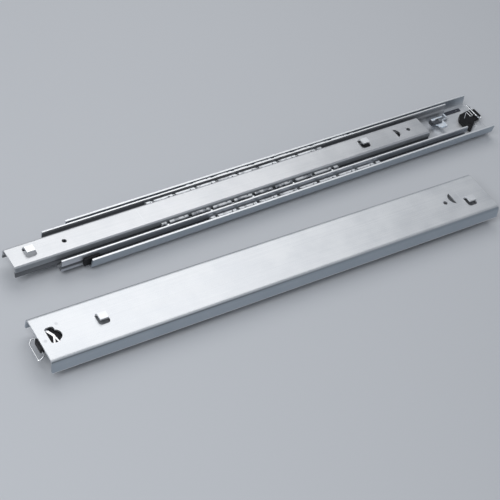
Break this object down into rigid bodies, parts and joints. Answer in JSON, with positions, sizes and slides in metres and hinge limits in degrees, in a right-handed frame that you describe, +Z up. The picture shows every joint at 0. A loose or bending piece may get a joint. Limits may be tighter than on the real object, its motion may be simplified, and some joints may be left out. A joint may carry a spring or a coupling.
{
  "type": "sliding server rail pair",
  "caption": "Handed telescopic ball-bearing server rails with bayonet hooks, ball cages, rear wire catch and latch lever, one web up and closed, one open side up and partly drawn.",
  "frame": {"origin": "middle of the base of the pair as it lies: centre of its bounding box in plan, at the height of the surface under it", "axes": "+X along the left slide from its rear end to its front end, +Y across from the left slide to the right slide, +Z up"},
  "size_m": [0.5954, 0.1664, 0.0275],
  "materials": {
    "outer_zinc": "bright zinc plating, satin",
    "middle_zinc": "bright zinc plating, satin",
    "inner_zinc": "bright zinc plating, satin",
    "bracket_zinc": "bluish zinc plating",
    "cage_steel": "plain strip steel, satin",
    "ball_steel": "polished bearing balls",
    "black_plastic": "black moulded plastic",
    "dark_pad": "dark grey moulded plastic",
    "rivet_steel": "zinc plated rivet",
    "wire_steel": "bright drawn wire",
    "spring_steel": "bright strip spring"
  },
  "bodies": {
    "rails": {"right_outer_member": "outer_zinc", "right_rear_block": "black_plastic", "right_rear_block_rivets": "black_plastic", "right_catch_spring": "spring_steel", "right_hairpin_spring": "wire_steel", "right_glide_pad": "dark_pad", "right_race_stop": "black_plastic", "left_outer_member": "outer_zinc", "left_rear_block": "black_plastic", "left_rear_block_rivets": "black_plastic", "left_catch_spring": "spring_steel", "left_hairpin_spring": "wire_steel", "left_glide_pad": "dark_pad", "left_race_stop": "black_plastic"},
    "right_middle": {"right_intermediate_member": "middle_zinc", "right_latch_bracket": "bracket_zinc", "right_latch_pivot": "rivet_steel", "right_latch_spring": "spring_steel", "right_latch_rivets": "rivet_steel"},
    "right_inner": {"right_inner_member": "inner_zinc"},
    "right_outer_cage": {"right_outer_retainer": "cage_steel", "right_outer_balls": "ball_steel"},
    "right_inner_cage": {"right_inner_retainer": "cage_steel", "right_inner_balls": "ball_steel"},
    "right_lever": {"right_latch_lever": "bracket_zinc"},
    "right_bail": {"right_rear_bail": "wire_steel"},
    "left_middle": {"left_intermediate_member": "middle_zinc", "left_latch_bracket": "bracket_zinc", "left_latch_pivot": "rivet_steel", "left_latch_spring": "spring_steel", "left_latch_rivets": "rivet_steel"},
    "left_inner": {"left_inner_member": "inner_zinc"},
    "left_outer_cage": {"left_outer_retainer": "cage_steel", "left_outer_balls": "ball_steel"},
    "left_inner_cage": {"left_inner_retainer": "cage_steel", "left_inner_balls": "ball_steel"},
    "left_lever": {"left_latch_lever": "bracket_zinc"},
    "left_bail": {"left_rear_bail": "wire_steel"}
  },
  "joints": [
    {"name": "right_middle_slide", "type": "slide", "parent": "rails", "child": "right_middle", "axis": [-0.9997, -0.0262, 0], "range_m": [-0.03, 0.225]},
    {"name": "right_inner_slide", "type": "slide", "parent": "right_middle", "child": "right_inner", "axis": [-0.9997, -0.0262, 0], "range_m": [-0.0425, 0.2025]},
    {"name": "right_outer_cage_roll", "type": "slide", "parent": "rails", "child": "right_outer_cage", "axis": [-0.9997, -0.0262, 0], "range_m": [-0.015, 0.1125]},
    {"name": "right_inner_cage_roll", "type": "slide", "parent": "right_middle", "child": "right_inner_cage", "axis": [-0.9997, -0.0262, 0], "range_m": [-0.02125, 0.10125]},
    {"name": "right_latch_pivot_turn", "type": "hinge", "parent": "right_middle", "child": "right_lever", "pos_m": [0.24176, 0.05804, 0.01425], "axis": [0, 0, 1], "range_deg": [0, 12], "stiffness_Nm_per_rad": 0.05, "springref_deg": -5.73},
    {"name": "right_bail_swing", "type": "hinge", "parent": "rails", "child": "right_bail", "pos_m": [0.29585, 0.05526, 0.0102], "axis": [0.0262, -0.9997, 0], "range_deg": [-150, 0]},
    {"name": "left_middle_slide", "type": "slide", "parent": "rails", "child": "left_middle", "axis": [1, 0, 0], "range_m": [0, 0.255]},
    {"name": "left_inner_slide", "type": "slide", "parent": "left_middle", "child": "left_inner", "axis": [1, 0, 0], "range_m": [0, 0.245]},
    {"name": "left_outer_cage_roll", "type": "slide", "parent": "rails", "child": "left_outer_cage", "axis": [1, 0, 0], "range_m": [0, 0.1275]},
    {"name": "left_inner_cage_roll", "type": "slide", "parent": "left_middle", "child": "left_inner_cage", "axis": [1, 0, 0], "range_m": [0, 0.1225]},
    {"name": "left_latch_pivot_turn", "type": "hinge", "parent": "left_middle", "child": "left_lever", "pos_m": [-0.26598, -0.05944, 0.01325], "axis": [0, 0, 1], "range_deg": [0, 12], "stiffness_Nm_per_rad": 0.05, "springref_deg": -5.73},
    {"name": "left_bail_swing", "type": "hinge", "parent": "rails", "child": "left_bail", "pos_m": [-0.28998, -0.05524, 0.0173], "axis": [0, -1, 0], "range_deg": [0, 150]}
  ],
  "couplings": [
    {"joint": "right_outer_cage_roll", "follows": "right_middle_slide", "ratio": 0.5},
    {"joint": "right_inner_cage_roll", "follows": "right_inner_slide", "ratio": 0.5},
    {"joint": "left_outer_cage_roll", "follows": "left_middle_slide", "ratio": 0.5},
    {"joint": "left_inner_cage_roll", "follows": "left_inner_slide", "ratio": 0.5}
  ]
}
